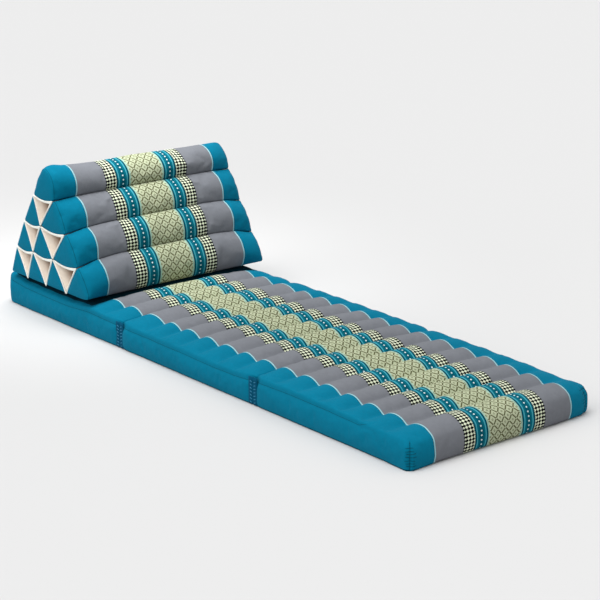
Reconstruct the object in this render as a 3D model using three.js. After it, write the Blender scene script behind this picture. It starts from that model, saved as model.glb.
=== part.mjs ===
import * as THREE from "three";

// Thai triangle cushion: a headrest of ten stuffed rolls on a quilted mat of three sections.
// Millimetres. X runs from the head end to the foot end, Y across, Z up from the floor.
// The origin is under the middle of the mat.

// Driving sizes of the mat
const FOLD_GAP = 0.3;
const PRESSED_CREST = 74.8;
const PRESSED_LENGTH = 352;

// Driving sizes of the headrest, with X measured from the head end of the mat
const HEADREST_HALF_WIDTH = 258;
const POCKET_DEPTH = 55;
const LINING_THICKNESS = 2;
const LINING_CLEARANCE = 0.15;

// Stitched bands over the side walls where the mat folds
const BAND_WIDTH = 18;
const BAND_THICKNESS = 2.4;
const BAND_INNER_FACE = 247.2;
const BAND_BOTTOM = 7;
const BAND_TOP = 60;

// Cotton as it looks from a step away
const TEAL_COTTON = { color: 0x0080a0, roughness: 0.85, metalness: 0 };
const CREAM_COTTON = { color: 0xf0e1cd, roughness: 0.9, metalness: 0 };
const DARK_TEAL_THREAD = { color: 0x00607c, roughness: 0.85, metalness: 0 };

// One row for each mat section: the width of its rolls, and the shape of its two ends
const SECTIONS = [
  { name: "mat_head", rolls: [69, 66, 66, 66, 66, 66, 70], start: "round", finish: "fold" },
  { name: "mat_middle", rolls: [86, 62, 68, 68, 69, 64, 68], start: "fold", finish: "fold" },
  { name: "mat_foot", rolls: [67, 71, 69, 65, 64, 69, 81], start: "fold", finish: "round" },
];

// Height of a roll's top over its width, from valley to valley
const ROLL_TOP = [
  { along: 0, rise: 0 },
  { along: 0.1, rise: 0.48 },
  { along: 0.33, rise: 0.93 },
  { along: 0.67, rise: 0.93 },
  { along: 0.9, rise: 0.48 },
];

// End walls from the floor up: back is the distance from the end, up the share of the height
const END_SHAPES = {
  round: [
    { back: 5, up: 0 },
    { back: 1.5, up: 0.1 },
    { back: 0, up: 0.38 },
    { back: 4, up: 0.7 },
    { back: 13, up: 0.87 },
  ],
  fold: [
    { back: 5, up: 0 },
    { back: 0.5, up: 0.14 },
    { back: 0, up: 0.5 },
    { back: 0, up: 0.85 },
  ],
};
const ROUND_END_REACH = 30;

// One row for each cross-section of the mat, from its side wall to the middle.
// low is the underside, corner and fold draw the ends in, dip is the sag under the headrest.
const ACROSS = [
  { y: 254, low: 8, valley: 42, crest: 42, corner: 18, fold: 14, dip: 3 },
  { y: 252, low: 1, valley: 54, crest: 54, corner: 12, fold: 10.5, dip: 6 },
  { y: 247, low: 0, valley: 62, crest: 62, corner: 6, fold: 9, dip: 8 },
  { y: 238, low: 0, valley: 64, crest: 66, corner: 3, fold: 3, dip: 8 },
  { y: 222, low: 0, valley: 64, crest: 70, corner: 1, fold: 0, dip: 6 },
  { y: 189, low: 0, valley: 63, crest: 73.5, corner: 0, fold: 0, dip: 0 },
  { y: 110, low: 0, valley: 63.5, crest: 78, corner: 0, fold: 0, dip: 0 },
  { y: 0, low: 0, valley: 64, crest: 80, corner: 0, fold: 0, dip: 0 },
];

// Seam lines of the headrest: at the end faces, and where the rolls are full
const ROWS_AT_END = [
  { z: 358, rear: 174, front: 174 },
  { z: 290, rear: 128, front: 211 },
  { z: 219, rear: 84, front: 256 },
  { z: 149, rear: 47, front: 302 },
  { z: 80, rear: 19, front: 348 },
];
const ROWS_INSIDE = [
  { z: 359, rear: 176, front: 176 },
  { z: 297, rear: 129, front: 223 },
  { z: 234, rear: 87, front: 267 },
  { z: 167, rear: 48, front: 306 },
  { z: 80, rear: 20, front: 343 },
];

// Where the seams of each row lie between its rear and its front: the front rolls are wider
const SEAM_SHARES = [[0], [0, 1], [0, 0.41, 1], [0, 0.28, 0.61, 1], [0, 0.22, 0.46, 0.72, 1]];

// One row for each cross-section of a headrest roll, from its end face to the middle.
// fill is its share of the room between the seams, settle moves the seams to where the
// rolls are full, pocket closes the pocket, crown is how far an outer side swells.
const ALONG_ROLL = [
  { depth: 0, fill: 0.9, settle: 0, pocket: 0, crown: 5 },
  { depth: 4, fill: 0.975, settle: 0.03, pocket: 0.07, crown: 7 },
  { depth: 14, fill: 0.99, settle: 0.12, pocket: 0.25, crown: 9 },
  { depth: 32, fill: 0.99, settle: 0.4, pocket: 0.58, crown: 10.5 },
  { depth: POCKET_DEPTH, fill: 0.99, settle: 0.7, pocket: 1, crown: 12 },
  { depth: 120, fill: 0.99, settle: 1, pocket: 1, crown: 13 },
  { depth: HEADREST_HALF_WIDTH, fill: 0.99, settle: 1, pocket: 1, crown: 13.5 },
];
const OUTER_STEPS = 6;
const UNDERSIDE_STEPS = 4;
const UNDERSIDE_CROWN = 5;

// The ten rolls of the headrest, by their row from the top and their place from the rear
const ROLLS = [
  { name: "roll_top", row: 1, place: 0 },
  { name: "roll_2_rear", row: 2, place: 0 },
  { name: "roll_2_front", row: 2, place: 1 },
  { name: "roll_3_rear", row: 3, place: 0 },
  { name: "roll_3_middle", row: 3, place: 1 },
  { name: "roll_3_front", row: 3, place: 2 },
  { name: "roll_4_rear", row: 4, place: 0 },
  { name: "roll_4_mid_rear", row: 4, place: 1 },
  { name: "roll_4_mid_front", row: 4, place: 2 },
  { name: "roll_4_front", row: 4, place: 3 },
];

const blend = THREE.MathUtils.lerp;

// Small helpers in the upright plane of a cross-section
function point(x, z) {
  return new THREE.Vector2(x, z);
}

function between(a, b, share) {
  return a.clone().lerp(b, share);
}

function centre(points) {
  const sum = points.reduce((total, p) => total.add(p), point(0, 0));
  return sum.divideScalar(points.length);
}

// A closed solid through rings of points, with flat ends
function loft(rings) {
  const count = rings[0].length;
  const positions = rings.flat().flatMap((p) => [p.x, p.y, p.z]);
  const index = [];
  for (let r = 0; r < rings.length - 1; r += 1) {
    for (let i = 0; i < count; i += 1) {
      const a = r * count + i;
      const b = r * count + ((i + 1) % count);
      index.push(a, b, a + count);
      index.push(b, b + count, a + count);
    }
  }
  const capEnd = (ring, start, flip) => {
    const middle = positions.length / 3;
    const heart = new THREE.Vector3();
    ring.forEach((p) => heart.add(p));
    heart.divideScalar(count);
    positions.push(heart.x, heart.y, heart.z);
    for (let i = 0; i < count; i += 1) {
      const a = start + i;
      const b = start + ((i + 1) % count);
      index.push(middle, flip ? b : a, flip ? a : b);
    }
  };
  capEnd(rings[0], 0, true);
  capEnd(rings[rings.length - 1], (rings.length - 1) * count, false);
  return closedGeometry(positions, index);
}

// Turns the faces outward if they were laid the other way round
function closedGeometry(positions, index) {
  let volume = 0;
  const corner = (i) => new THREE.Vector3().fromArray(positions, 3 * index[i]);
  for (let i = 0; i < index.length; i += 3) {
    volume += corner(i).dot(corner(i + 1).cross(corner(i + 2)));
  }
  if (volume < 0) {
    index.reverse();
  }
  const geometry = new THREE.BufferGeometry();
  geometry.setAttribute("position", new THREE.Float32BufferAttribute(positions, 3));
  geometry.setIndex(index);
  geometry.computeVertexNormals();
  return geometry;
}

function cottonMesh(name, geometry, cotton) {
  const mesh = new THREE.Mesh(geometry, new THREE.MeshStandardMaterial(cotton));
  mesh.name = name;
  return mesh;
}

// The full table from the near side to the far side, for a table that ends in the middle
function bothSides(rows) {
  const farSide = rows.slice(0, -1).reverse();
  return [
    ...rows.map((row) => ({ ...row, side: -1 })),
    ...farSide.map((row) => ({ ...row, side: 1 })),
  ];
}

// Mat

function sectionLength(section) {
  return section.rolls.reduce((sum, width) => sum + width, 0);
}

// How far the headrest presses the mat at this distance from the head end
function pressure(x) {
  const inside = x > 0 && x < PRESSED_LENGTH;
  return inside ? Math.sin((Math.PI * x) / PRESSED_LENGTH) : 0;
}

function matTop(x, rise, row) {
  const height = blend(row.valley, row.crest, rise) - row.dip * pressure(x);
  return x < PRESSED_LENGTH ? Math.min(height, PRESSED_CREST) : height;
}

function endWall(shape, x, inward, row) {
  const drawnIn = shape === "round" ? row.corner : row.fold;
  const height = matTop(x + inward * ROUND_END_REACH, shape === "round" ? 1 : 0, row) - row.low;
  return END_SHAPES[shape].map(({ back, up }) => (
    point(x + inward * (back + drawnIn), row.low + up * height)
  ));
}

// The outline of one section of the mat, cut along its length
function matOutline(section, start, row) {
  const finish = start + sectionLength(section);
  const from = start + (section.start === "round" ? row.corner : row.fold);
  const to = finish - (section.finish === "round" ? row.corner : row.fold);
  const fit = (x) => THREE.MathUtils.mapLinear(x, start, finish, from, to);
  const top = [];
  let left = start;
  section.rolls.forEach((width) => {
    ROLL_TOP.forEach(({ along, rise }) => {
      const x = left + along * width;
      const inRoundStart = section.start === "round" && x < start + ROUND_END_REACH;
      const inRoundFinish = section.finish === "round" && x > finish - ROUND_END_REACH;
      if (!inRoundStart && !inRoundFinish) {
        top.push(point(fit(x), matTop(x, rise, row)));
      }
    });
    left += width;
  });
  if (section.finish === "fold") {
    top.push(point(to, matTop(finish, 0, row)));
  }
  const startWall = endWall(section.start, start, 1, row);
  const finishWall = endWall(section.finish, finish, -1, row).reverse();
  return [...startWall, ...top, ...finishWall];
}

function mat() {
  const group = new THREE.Group();
  let start = 0;
  SECTIONS.forEach((section) => {
    const rings = bothSides(ACROSS).map((row) => (
      matOutline(section, start, row).map((p) => new THREE.Vector3(p.x, row.side * row.y, p.y))
    ));
    group.add(cottonMesh(section.name, loft(rings), TEAL_COTTON));
    start += sectionLength(section) + FOLD_GAP;
  });
  return group;
}

// The X of each fold, halfway across its gap
function foldPlaces() {
  let x = 0;
  return SECTIONS.slice(0, -1).map((section) => {
    x += sectionLength(section) + FOLD_GAP;
    return x - FOLD_GAP / 2;
  });
}

// A stitched band that holds two sections together at their side walls
function foldBand(x, side) {
  const outline = new THREE.Shape();
  outline.moveTo(-BAND_WIDTH / 2, BAND_BOTTOM);
  outline.lineTo(BAND_WIDTH / 2, BAND_BOTTOM);
  outline.lineTo(BAND_WIDTH / 2 - 3, BAND_TOP);
  outline.lineTo(-BAND_WIDTH / 2 + 3, BAND_TOP);
  outline.closePath();
  const strip = { depth: BAND_THICKNESS, bevelEnabled: false };
  const geometry = new THREE.ExtrudeGeometry(outline, strip);
  geometry.rotateX(Math.PI / 2);
  geometry.translate(x, side > 0 ? BAND_INNER_FACE + BAND_THICKNESS : -BAND_INNER_FACE, 0);
  return geometry;
}

function foldBands() {
  const group = new THREE.Group();
  foldPlaces().forEach((x, fold) => {
    [[-1, "near"], [1, "far"]].forEach(([side, word]) => {
      const name = `fold_band_${fold + 1}_${word}`;
      group.add(cottonMesh(name, foldBand(x, side), DARK_TEAL_THREAD));
    });
  });
  return group;
}

// Headrest

// A seam point: row counts seam lines down from the ridge, place counts from the rear
function seam(row, place, settle) {
  const atEnd = ROWS_AT_END[row];
  const inside = ROWS_INSIDE[row];
  const share = SEAM_SHARES[row][place];
  const x = blend(
    blend(atEnd.rear, atEnd.front, share),
    blend(inside.rear, inside.front, share),
    settle,
  );
  return point(x, blend(atEnd.z, inside.z, settle));
}

// The upside-down triangle between three rolls: its two upper corners and its tip
function pocketCorners(row, place, settle) {
  return [
    seam(row - 1, place - 1, settle),
    seam(row - 1, place, settle),
    seam(row, place, settle),
  ];
}

// Points from a to b along an outer side that swells away from the roll's heart
function swollenSide(a, b, heart, crown, steps) {
  const across = point(b.y - a.y, a.x - b.x).normalize();
  if (across.dot(between(a, b, 0.5).sub(heart)) < 0) {
    across.negate();
  }
  return Array.from({ length: steps }, (unused, step) => {
    const share = step / steps;
    const swell = crown * (1 - Math.abs(2 * share - 1) ** 2.4);
    return between(a, b, share).addScaledVector(across, swell);
  });
}

// Points from a to b along a side that three rolls share at the pocket's end
function sharedSide(a, b, pocket, closed) {
  return [a, between(between(a, b, 0.5), centre(pocket), closed)];
}

// The outline of one headrest roll at one of its cross-sections
function rollOutline({ row, place }, station) {
  const { settle, pocket, crown, fill } = station;
  const top = seam(row - 1, place, settle);
  const rear = seam(row, place, settle);
  const front = seam(row, place + 1, settle);
  const heart = centre([top, rear, front]);
  const lastRow = row === ROWS_AT_END.length - 1;
  const outline = [
    ...(place === 0
      ? swollenSide(rear, top, heart, crown, OUTER_STEPS)
      : sharedSide(rear, top, pocketCorners(row, place, settle), pocket)),
    ...(place === row - 1
      ? swollenSide(top, front, heart, crown, OUTER_STEPS)
      : sharedSide(top, front, pocketCorners(row, place + 1, settle), pocket)),
    ...(lastRow
      ? swollenSide(front, rear, heart, UNDERSIDE_CROWN * pocket, UNDERSIDE_STEPS)
      : sharedSide(front, rear, pocketCorners(row + 1, place + 1, settle), pocket)),
  ];
  return outline.map((p) => between(heart, p, fill));
}

function headrestRoll(roll) {
  const rings = bothSides(ALONG_ROLL).map((station) => {
    const y = station.side * (HEADREST_HALF_WIDTH - station.depth);
    return rollOutline(roll, station).map((p) => new THREE.Vector3(p.x, y, p.y));
  });
  return cottonMesh(roll.name, loft(rings), TEAL_COTTON);
}

// The station between two cross-sections at which a pocket has closed by this share
function pocketStation(share) {
  const next = ALONG_ROLL.findIndex((station) => station.pocket > share);
  const before = ALONG_ROLL[next - 1];
  const after = ALONG_ROLL[next];
  const local = (share - before.pocket) / (after.pocket - before.pocket);
  return {
    depth: blend(before.depth, after.depth, local),
    settle: blend(before.settle, after.settle, local),
  };
}

// One triangle of a lining, a little smaller than the pocket there
function liningRing(row, place, side, { share, inset }) {
  const { depth, settle } = pocketStation(share);
  const corners = pocketCorners(row, place, settle);
  const middle = centre(corners);
  const height = corners[0].y - corners[2].y;
  const size = 1 - share - (3 * inset) / height;
  return corners.map((corner) => {
    const p = between(middle, corner, size);
    return new THREE.Vector3(p.x, side * (HEADREST_HALF_WIDTH - depth), p.y);
  });
}

// A lining is one folded triangle of cloth: outside from its tip to the mouth, then back inside
function pocketLining(row, place, side) {
  const outer = [0.95, 0.58, 0.25, 0.07, 0].map((share) => (
    { share, inset: LINING_CLEARANCE }
  ));
  const inner = [0, 0.07, 0.25, 0.58, 0.86].map((share) => (
    { share, inset: LINING_CLEARANCE + LINING_THICKNESS }
  ));
  return loft([...outer, ...inner].map((ring) => liningRing(row, place, side, ring)));
}

function pocketLinings() {
  const group = new THREE.Group();
  [[-1, "near"], [1, "far"]].forEach(([side, word]) => {
    for (let row = 2; row < ROWS_AT_END.length; row += 1) {
      for (let place = 1; place < row; place += 1) {
        const name = `pocket_${row}_${place}_${word}`;
        group.add(cottonMesh(name, pocketLining(row, place, side), CREAM_COTTON));
      }
    }
  });
  return group;
}

function headrest() {
  const group = new THREE.Group();
  ROLLS.forEach((roll) => group.add(headrestRoll(roll)));
  group.add(pocketLinings());
  return group;
}

const cushion = new THREE.Group();
cushion.add(mat(), foldBands(), headrest());
const folds = SECTIONS.length - 1;
const length = SECTIONS.reduce((sum, section) => sum + sectionLength(section), folds * FOLD_GAP);
cushion.position.x = -length / 2;
cushion.updateMatrixWorld(true);

export default cushion;
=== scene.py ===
# %% [markdown]
# # A Thai triangle cushion
# The real object is a floor mat of three quilted sections with a stepped triangle of stuffed
# rolls at its head. A maker sews printed cotton into narrow tubes, stuffs them with kapok and
# closes their ends by hand. This lesson dresses the measured solids of that cushion: we load
# them as a fixed frame, set up the camera and light of the photograph, mix the cottons, and
# then make each stuffed piece, each lining and each stitched band.

# %% Load the frame
import math
import bmesh
import bpy
from mathutils import Matrix, Vector, noise
from mathutils.bvhtree import BVHTree


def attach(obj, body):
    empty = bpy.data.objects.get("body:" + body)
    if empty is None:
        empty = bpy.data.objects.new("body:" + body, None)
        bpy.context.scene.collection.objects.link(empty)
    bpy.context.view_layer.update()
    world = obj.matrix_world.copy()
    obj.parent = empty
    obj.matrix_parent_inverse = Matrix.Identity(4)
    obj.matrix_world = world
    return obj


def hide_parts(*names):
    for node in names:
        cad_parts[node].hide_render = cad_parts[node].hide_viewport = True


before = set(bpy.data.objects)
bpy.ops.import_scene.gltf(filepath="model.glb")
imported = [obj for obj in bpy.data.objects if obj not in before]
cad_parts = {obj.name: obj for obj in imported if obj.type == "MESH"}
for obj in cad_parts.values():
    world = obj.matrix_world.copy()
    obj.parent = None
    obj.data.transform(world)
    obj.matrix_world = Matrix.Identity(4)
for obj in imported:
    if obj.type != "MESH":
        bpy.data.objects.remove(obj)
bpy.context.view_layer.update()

print("solids in the frame:", len(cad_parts))

# %% [markdown]
# ## The camera
# A product photograph is taken from a few metres away with a long lens, so that parallel sides
# stay nearly parallel. We could guess the place by eye, but the floor outline of the mat is a
# known rectangle, so its corners in the picture give the camera's place, turn and lens.

# %% Camera
CAMERA_PLACE = Vector((3.46887, -2.77288, 1.48821))
CAMERA_TARGET = Vector((-0.28086, 0.29377, 0))
CAMERA_LENS = 125.59

camera = bpy.data.objects.new("camera", bpy.data.cameras.new("camera"))
camera.data.lens = CAMERA_LENS
camera.data.sensor_width = 36
camera.location = CAMERA_PLACE
camera.rotation_euler = (CAMERA_TARGET - CAMERA_PLACE).to_track_quat("-Z", "Y").to_euler()
bpy.context.scene.collection.objects.link(camera)
bpy.context.scene.camera = camera
bpy.context.scene.view_settings.view_transform = "Standard"
print("camera looks at", tuple(round(x, 3) for x in CAMERA_TARGET))

# %% [markdown]
# ## Small helpers for colours, nodes and objects
# Colours are easiest to read as the numbers of a colour picker, which are not linear, so one
# helper turns them into light. A pattern needs many Math nodes. Wiring each by hand is slow to
# read, so a Signal is a socket that adds a Math node whenever we write a plus or a times sign.
# The last two helpers make a plain material, and turn a bmesh into a finished object.

# %% Colours, signals and objects
MIX_UNDER, MIX_OVER, MIX_RESULT = 6, 7, 2  # the sockets for colours on a Mix node


def light(red, green, blue):
    """A colour picker's 0 to 255 as linear light with full alpha."""
    parts = [c / 255 for c in (red, green, blue)]
    return tuple(p / 12.92 if p <= 0.04045 else ((p + 0.055) / 1.055) ** 2.4 for p in parts) + (1,)


class Signal:
    def __init__(self, tree, socket):
        self.tree = tree
        self.socket = socket

    def math(self, operation, *others):
        node = self.tree.nodes.new("ShaderNodeMath")
        node.operation = operation
        for slot, value in zip(node.inputs, (self, *others)):
            if isinstance(value, Signal):
                self.tree.links.new(value.socket, slot)
            else:
                slot.default_value = value
        return Signal(self.tree, node.outputs[0])

    def __add__(self, other):
        return self.math("ADD", other)

    def __sub__(self, other):
        return self.math("SUBTRACT", other)

    def __mul__(self, other):
        return self.math("MULTIPLY", other)

    def __lt__(self, other):
        return self.math("LESS_THAN", other)

    def __gt__(self, other):
        return self.math("GREATER_THAN", other)

    def size(self):
        return self.math("ABSOLUTE")

    def fraction(self):
        return self.math("FRACT")

    def sine(self):
        return self.math("SINE")

    def at_least(self, other):
        return self.math("MAXIMUM", other)

    def at_most(self, other):
        return self.math("MINIMUM", other)

    def within(self, low, high):
        return (self > low) * (self < high)

    def soft_step(self, low, high):
        """0 below low and 1 above high, with a soft slope between."""
        node = self.tree.nodes.new("ShaderNodeMapRange")
        node.interpolation_type = "SMOOTHSTEP"
        node.inputs["From Min"].default_value = low
        node.inputs["From Max"].default_value = high
        self.tree.links.new(self.socket, node.inputs["Value"])
        return Signal(self.tree, node.outputs["Result"])


def paint(under, over, mask):
    """Lays the colour over onto the colour under where mask is 1."""
    node = mask.tree.nodes.new("ShaderNodeMix")
    node.data_type = "RGBA"
    mask.tree.links.new(mask.socket, node.inputs["Factor"])
    for slot, colour in ((MIX_UNDER, under), (MIX_OVER, over)):
        if isinstance(colour, tuple):
            node.inputs[slot].default_value = colour
        else:
            mask.tree.links.new(colour, node.inputs[slot])
    return node.outputs[MIX_RESULT]


def plain_material(name, colour, roughness):
    material = bpy.data.materials.new(name)
    material.use_nodes = True
    shader = material.node_tree.nodes["Principled BSDF"]
    shader.inputs["Base Color"].default_value = colour
    shader.inputs["Roughness"].default_value = roughness
    return material


def finished_object(name, maker, materials):
    """A bmesh as an object at the origin, with smooth faces."""
    mesh = bpy.data.meshes.new(name)
    maker.to_mesh(mesh)
    maker.free()
    mesh.shade_smooth()
    for material in materials:
        mesh.materials.append(material)
    piece = bpy.data.objects.new(name, mesh)
    bpy.context.scene.collection.objects.link(piece)
    return piece


print("helpers ready")

# %% [markdown]
# ## Light and floor
# The photograph has a pale floor that fades into a pale background and soft shadows, as in a
# light tent with its lamps above. A sky that is bright overhead and dim at the horizon leaves
# the undersides of the rolls darker. One broad sun stands high above, so the foot end is dimmer
# than the tops of the rolls. A weaker one lights the near side walls, and a softbox over the
# headrest makes it a little brighter than the mat.

# %% Light and floor
SKY_LOW = 0.10
SKY_HIGH = 1.19
SOFTBOX_PLACE = Vector((-0.50, -0.10, 1.1))
SOFTBOX_AIM = Vector((-0.66, 0, 0.25))
FLOOR_TONE = 0.61
FLOOR_ROUGHNESS = 0.9
FLOOR_RADIUS = 14
world = bpy.data.worlds.new("light_tent")
bpy.context.scene.world = world
world.use_nodes = True
background = world.node_tree.nodes["Background"]
background.inputs["Color"].default_value = (1, 1, 1, 1)
direction = world.node_tree.nodes.new("ShaderNodeTexCoord")
split = world.node_tree.nodes.new("ShaderNodeSeparateXYZ")
world.node_tree.links.new(direction.outputs["Generated"], split.inputs["Vector"])
height = Signal(world.node_tree, split.outputs["Z"]).at_least(0.0)
sky = height * (SKY_HIGH - SKY_LOW) + SKY_LOW
world.node_tree.links.new(sky.socket, background.inputs["Strength"])


def broad_sun(name, energy, angle, direction):
    lamp = bpy.data.objects.new(name, bpy.data.lights.new(name, "SUN"))
    lamp.data.energy = energy
    lamp.data.angle = math.radians(angle)
    lamp.rotation_euler = Vector(direction).to_track_quat("Z", "Y").to_euler()
    bpy.context.scene.collection.objects.link(lamp)


broad_sun("top_sun", energy=1.35, angle=40, direction=(-0.12, -0.2, 1))
broad_sun("side_sun", energy=0.8, angle=50, direction=(-0.1, -1, 0.7))
softbox = bpy.data.objects.new("softbox", bpy.data.lights.new("softbox", "AREA"))
softbox.data.energy = 1.5
softbox.data.size = 0.5
softbox.data.spread = math.radians(75)
softbox.location = SOFTBOX_PLACE
softbox.rotation_euler = (SOFTBOX_PLACE - SOFTBOX_AIM).to_track_quat("Z", "Y").to_euler()
bpy.context.scene.collection.objects.link(softbox)
print("two suns and a softbox over the headrest")

floor_maker = bmesh.new()
bmesh.ops.create_circle(floor_maker, cap_ends=True, segments=96, radius=FLOOR_RADIUS)
floor_colour = (FLOOR_TONE, FLOOR_TONE, FLOOR_TONE, 1)
pale_floor = plain_material("pale_floor", floor_colour, FLOOR_ROUGHNESS)
floor = finished_object("floor", floor_maker, [pale_floor])
print("floor of", 2 * FLOOR_RADIUS, "metres across")

# %% [markdown]
# ## The printed cotton
# One cloth covers the mat and the headrest: a gold lattice down the middle, a teal band with
# dots on each side of it, a band of black checks, a grey stripe and a teal border. The stripes
# run the length of the cloth, so the pattern is drawn in the cloth's own measures: a UV map
# named cloth holds metres along it and metres out from its middle. Painting on the object's
# place would smear over the curves of the rolls, and an image would show its pixels close up.
# Plain teal cloth lies further out on the map than the print, and the painted shade of the crack
# under the headrest furthest.

# %% Measures of the print
GOLD_EDGE = 0.048
MINT_START = GOLD_EDGE - 0.0030
SCALLOP = 0.0022
LATTICE_ACROSS = 0.021
LATTICE_ALONG = 0.023

BAND_EDGE = 0.082
BAND_CORE = 0.0052
DOT_PITCH = 0.0098
DOT_RADIUS = 0.0019

CHECK_EDGE = 0.115
CHECK_COLUMN = 0.0085
CHECK_ROW = 0.0077
CHECK_SHIFT = 0.0022
GREY_START = BAND_EDGE + 0.0012

LINE_EDGE = 0.189
PALE_LINE_START = LINE_EDGE - 0.0016
# The dark line beside the pale line is a painted shadow under its raised edge
EDGE_SHADOW_START = LINE_EDGE + 0.0014
BORDER_START = LINE_EDGE + 0.0024

PLAIN_CLOTH = 0.30
WALL_STITCHES = (PLAIN_CLOTH + 0.0094, PLAIN_CLOTH + 0.0106)
WALL_STITCH_PITCH = 0.0036
WALL_STITCH_SHARE = 0.62
# The foot of the side wall carries a painted contact shadow
PAINTED_FOOT_SHADOW = (PLAIN_CLOTH + 0.0594, PLAIN_CLOTH + 0.0625)
END_CREASE_SHADE = (0.2618, 0.2618 + 0.0011)
END_SHIFT = 0.020
SHADE_CLOTH = 2.0
THREAD_PITCH = 0.0008

TEAL = light(0, 111, 140)
BAND_TEAL = light(0, 82, 98)
GREEN_TEAL = light(0, 100, 118)
DEEP_TEAL = light(0, 62, 76)
GREY = light(115, 118, 124)
PALE_BLUE = light(146, 194, 202)
SHADE_TEAL = light(0, 50, 64)
CREASE_SHADE_TEAL = light(0, 84, 106)
BAND_LINE = light(70, 160, 176)
OLIVE = light(108, 112, 84)
CREAM_GOLD = light(186, 194, 164)
SOFT_GOLD = light(146, 152, 120)
CHECK_CREAM = light(216, 224, 197)
MINT = light(152, 188, 172)
DARK_LINE = light(92, 92, 64)
CHECK_BLACK = light(24, 24, 22)
WHITE = light(206, 230, 232)
BAND_LINES = [
    # share of the band's width, half the line's width, colour
    (0.03, 0.0016, DEEP_TEAL),
    (0.97, 0.0016, DEEP_TEAL),
    (0.17, 0.0013, BAND_LINE),
    (0.83, 0.0013, BAND_LINE),
]


def cloth_measures(tree):
    """Metres along the cloth and across it, from the UV map."""
    uv = tree.nodes.new("ShaderNodeUVMap")
    uv.uv_map = "cloth"
    split = tree.nodes.new("ShaderNodeSeparateXYZ")
    tree.links.new(uv.outputs["UV"], split.inputs["Vector"])
    return Signal(tree, split.outputs["X"]), Signal(tree, split.outputs["Y"])


print("the print is", 2 * LINE_EDGE, "metres wide between its pale lines")

# %% [markdown]
# ### The gold lattice
# Small diamonds stand in rows that are shifted by half a step, which is a square lattice turned
# by 45 degrees. Adding and subtracting the two measures turns it, and the fraction of each sum
# is the place inside one diamond. Each has a pale ring, a dark heart and a thin dark border.

# %% Gold lattice
def gold_lattice(along, across):
    """The colour of the lattice, from the square and round distances to a diamond's middle."""
    turned = [
        across * (1 / LATTICE_ACROSS) + along * (1 / LATTICE_ALONG),
        across * (1 / LATTICE_ACROSS) - along * (1 / LATTICE_ALONG),
    ]
    inside = [(t.fraction() - 0.5).size() for t in turned]
    square = inside[0].at_least(inside[1])
    round_ = (inside[0] * inside[0] + inside[1] * inside[1]).math("SQRT")
    ring = square * 0.55 + round_ * 0.45
    colour = paint(CREAM_GOLD, OLIVE, ring < 0.15)
    colour = paint(colour, CREAM_GOLD, ring < 0.055)
    colour = paint(colour, SOFT_GOLD, ring.within(0.255, 0.30))
    colour = paint(colour, OLIVE, square > 0.385)
    colour = paint(colour, DARK_LINE, square > 0.425)
    colour = paint(colour, CREAM_GOLD, inside[0].at_most(inside[1]) > 0.41)
    return colour


# %% [markdown]
# ### Teal band and checks
# The band has two pale lines with a row of dots between them. Both edges are ragged: black
# points reach out into the grey, and cream points reach in towards the band.

# %% Bands
def teal_band(under, along, out):
    width = BAND_EDGE - GOLD_EDGE
    from_middle = out - (GOLD_EDGE + width / 2)
    colour = paint(under, GREEN_TEAL, out.within(GOLD_EDGE, BAND_EDGE))
    colour = paint(colour, BAND_TEAL, from_middle.size() < BAND_CORE)
    for share, half, dye in BAND_LINES:
        colour = paint(colour, dye, (out - (GOLD_EDGE + share * width)).size() < half)
    step = ((along * (1 / DOT_PITCH)).fraction() - 0.5) * DOT_PITCH
    dot = (step * step + from_middle * from_middle).math("SQRT") < DOT_RADIUS
    return paint(colour, WHITE, dot)


def check_band(under, along, out):
    up = ((along * (1 / CHECK_ROW)).fraction() - 0.5).size()
    side = (((out - BAND_EDGE - CHECK_SHIFT) * (1 / CHECK_COLUMN)).fraction() - 0.5).size()
    diamond = (up * 1.9 + side * 1.8) < 1.0
    black_points = up * 0.011 + (CHECK_EDGE - 0.0085)
    inner = up * 0.0060 + (BAND_EDGE - 0.0004)
    outer = up * -0.009 + (CHECK_EDGE - 0.0010)
    colour = paint(CHECK_CREAM, CHECK_BLACK, diamond)
    colour = paint(colour, CHECK_BLACK, out > black_points)
    return paint(under, colour, (out > inner) * (out < outer))


print("bands ready")


# %% [markdown]
# ### The finished cotton
# Printed cotton is matt with a faint sheen, and its threads show close up. Two crossing waves
# one thread apart make the weave, and a slow noise makes the dye a little uneven. Folds and
# creases are shaped in the mesh, so the bump is kept for thread and crumple only.

# %% Printed cotton
def weave(along, across):
    """Height of a plain weave, from 0 to 1."""
    turn = 2 * math.pi / THREAD_PITCH
    warp = (along * turn).sine() * (across * (turn / 2)).sine()
    return warp * 0.5 + 0.5


def object_noise(tree, scale, detail):
    """An even noise over the object, from 0 to 1."""
    place = tree.nodes.new("ShaderNodeTexCoord")
    texture = tree.nodes.new("ShaderNodeTexNoise")
    texture.inputs["Scale"].default_value = scale
    texture.inputs["Detail"].default_value = detail
    tree.links.new(place.outputs["Object"], texture.inputs["Vector"])
    return Signal(tree, texture.outputs["Fac"])


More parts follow.
